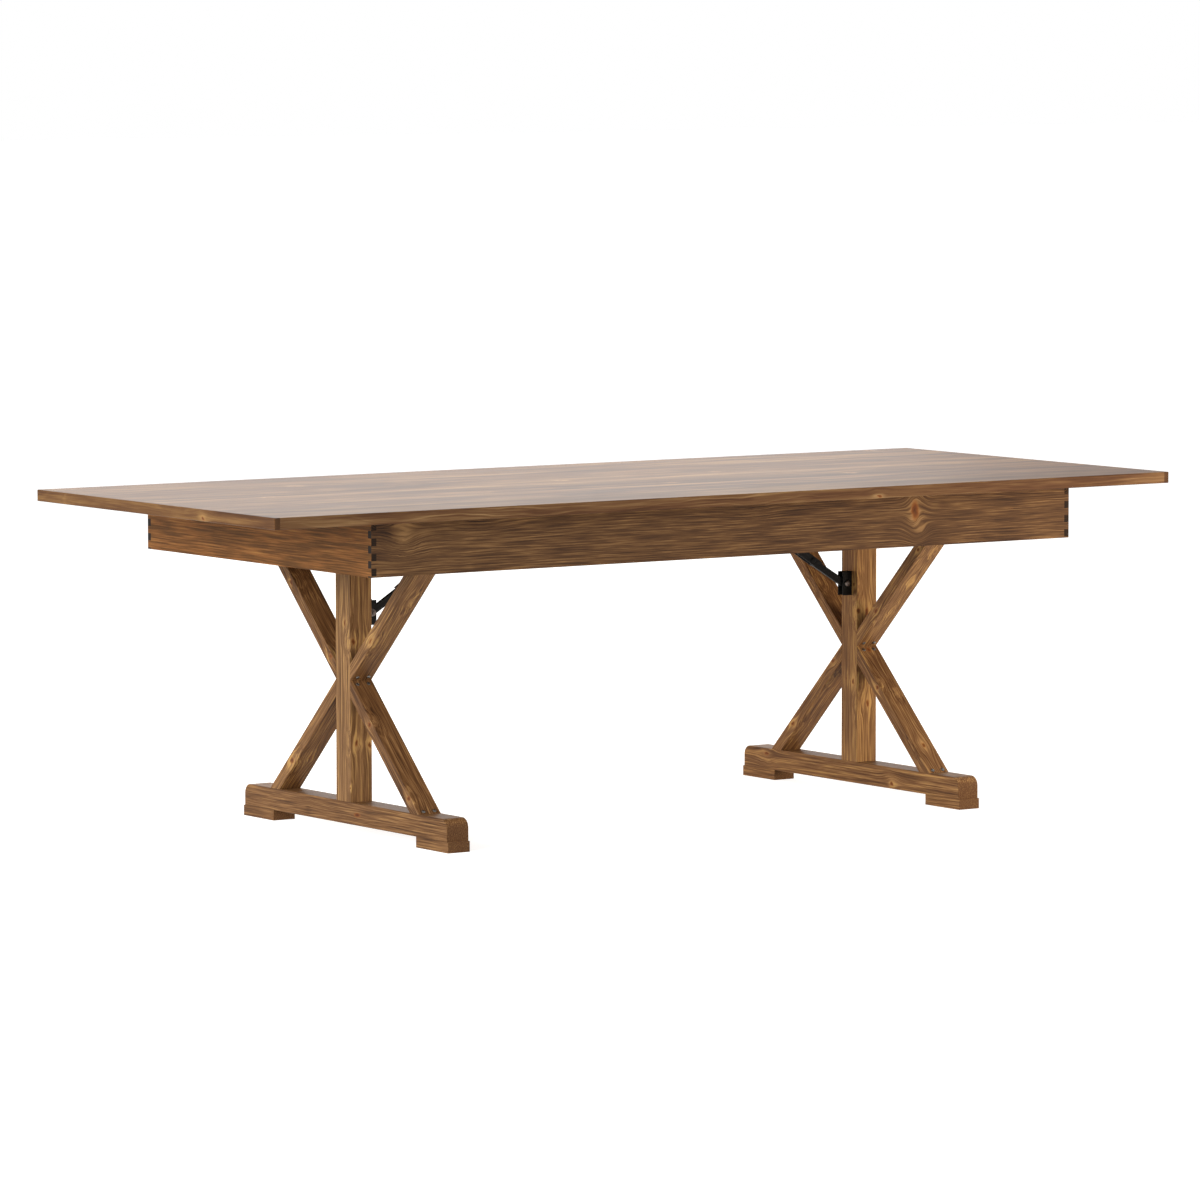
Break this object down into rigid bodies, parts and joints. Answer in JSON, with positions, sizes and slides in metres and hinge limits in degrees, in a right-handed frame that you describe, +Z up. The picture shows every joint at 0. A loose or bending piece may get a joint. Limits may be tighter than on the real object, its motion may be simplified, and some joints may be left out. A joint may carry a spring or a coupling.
{
  "type": "folding table",
  "caption": "Long plank-topped wooden farm table on X-braced leg frames that fold inwards under the top, each held upright by a folding steel stay.",
  "frame": {"origin": "on the floor, below the middle of the table top", "axes": "+X along the length of the top, +Y across it, +Z up"},
  "size_m": [2.438, 1.016, 0.762],
  "materials": {
    "pine_top": "brown stain, satin varnish",
    "pine_apron": "brown stain, satin varnish",
    "pine_leg": "brown stain, satin varnish",
    "pine_underside": "thin brown stain, matt",
    "dowel_beech": "bare",
    "black_steel": "black powder coat",
    "zinc_bolt": "zinc plated",
    "hinge_steel": "zinc plated",
    "screw_steel": "dull zinc plated"
  },
  "bodies": {
    "table_top": {"anchor_bolts": "zinc_bolt", "anchor_brackets": "black_steel", "apron_front": "pine_apron", "apron_left_end": "pine_apron", "apron_rear": "pine_apron", "apron_right_end": "pine_apron", "centre_batten": "pine_underside", "corner_blocks": "pine_underside", "end_batten_left": "pine_underside", "end_batten_right": "pine_underside", "end_lippings": "pine_top", "hinge_cleat_left": "pine_underside", "hinge_cleat_right": "pine_underside", "hinge_leaves_top": "hinge_steel", "hinge_pins": "hinge_steel", "top_board_1": "pine_top", "top_board_2": "pine_top", "top_board_3": "pine_top", "top_board_4": "pine_top", "top_board_5": "pine_top", "top_board_6": "pine_top", "top_hardware_screws": "screw_steel"},
    "right_leg": {"brace_lower_front_right": "pine_leg", "brace_lower_rear_right": "pine_leg", "brace_screws_right": "screw_steel", "brace_upper_front_right": "pine_leg", "brace_upper_rear_right": "pine_leg", "foot_beam_right": "pine_leg", "foot_pad_front_right": "pine_leg", "foot_pad_rear_right": "pine_leg", "hinge_leaves_right_leg": "hinge_steel", "leg_bolt_right": "zinc_bolt", "leg_bracket_right": "black_steel", "leg_hardware_screws_right": "screw_steel", "pad_screws_right": "screw_steel", "post_dowels_right": "dowel_beech", "post_right": "pine_leg", "top_rail_right": "pine_leg"},
    "right_lower_arm": {"stay_lower_arm_right": "black_steel"},
    "right_upper_arm": {"knee_rivets_right": "black_steel", "stay_upper_arm_right": "black_steel"},
    "left_leg": {"brace_lower_front_left": "pine_leg", "brace_lower_rear_left": "pine_leg", "brace_screws_left": "screw_steel", "brace_upper_front_left": "pine_leg", "brace_upper_rear_left": "pine_leg", "foot_beam_left": "pine_leg", "foot_pad_front_left": "pine_leg", "foot_pad_rear_left": "pine_leg", "hinge_leaves_left_leg": "hinge_steel", "leg_bolt_left": "zinc_bolt", "leg_bracket_left": "black_steel", "leg_hardware_screws_left": "screw_steel", "pad_screws_left": "screw_steel", "post_dowels_left": "dowel_beech", "post_left": "pine_leg", "top_rail_left": "pine_leg"},
    "left_lower_arm": {"stay_lower_arm_left": "black_steel"},
    "left_upper_arm": {"knee_rivets_left": "black_steel", "stay_upper_arm_left": "black_steel"}
  },
  "joints": [
    {"name": "right_leg_fold", "type": "hinge", "parent": "table_top", "child": "right_leg", "pos_m": [0.6805, 0, 0.672], "axis": [0, 1, 0], "range_deg": [0, 90]},
    {"name": "right_lower_arm_turn", "type": "hinge", "parent": "right_leg", "child": "right_lower_arm", "pos_m": [0.659, 0, 0.494], "axis": [0, 1, 0], "range_deg": [0, 45.57]},
    {"name": "right_upper_arm_turn", "type": "hinge", "parent": "table_top", "child": "right_upper_arm", "pos_m": [0.30033, 0, 0.7225], "axis": [0, 1, 0], "range_deg": [-32.26, 0]},
    {"name": "left_leg_fold", "type": "hinge", "parent": "table_top", "child": "left_leg", "pos_m": [-0.6805, 0, 0.672], "axis": [0, -1, 0], "range_deg": [0, 90]},
    {"name": "left_lower_arm_turn", "type": "hinge", "parent": "left_leg", "child": "left_lower_arm", "pos_m": [-0.659, 0, 0.494], "axis": [0, -1, 0], "range_deg": [0, 45.57]},
    {"name": "left_upper_arm_turn", "type": "hinge", "parent": "table_top", "child": "left_upper_arm", "pos_m": [-0.30033, 0, 0.7225], "axis": [0, -1, 0], "range_deg": [-32.26, 0]}
  ],
  "couplings": [
    {"joint": "right_lower_arm_turn", "follows": "right_leg_fold", "ratio": 0.50575},
    {"joint": "right_upper_arm_turn", "follows": "right_leg_fold", "ratio": -0.35788},
    {"joint": "left_lower_arm_turn", "follows": "left_leg_fold", "ratio": 0.50575},
    {"joint": "left_upper_arm_turn", "follows": "left_leg_fold", "ratio": -0.35788}
  ]
}
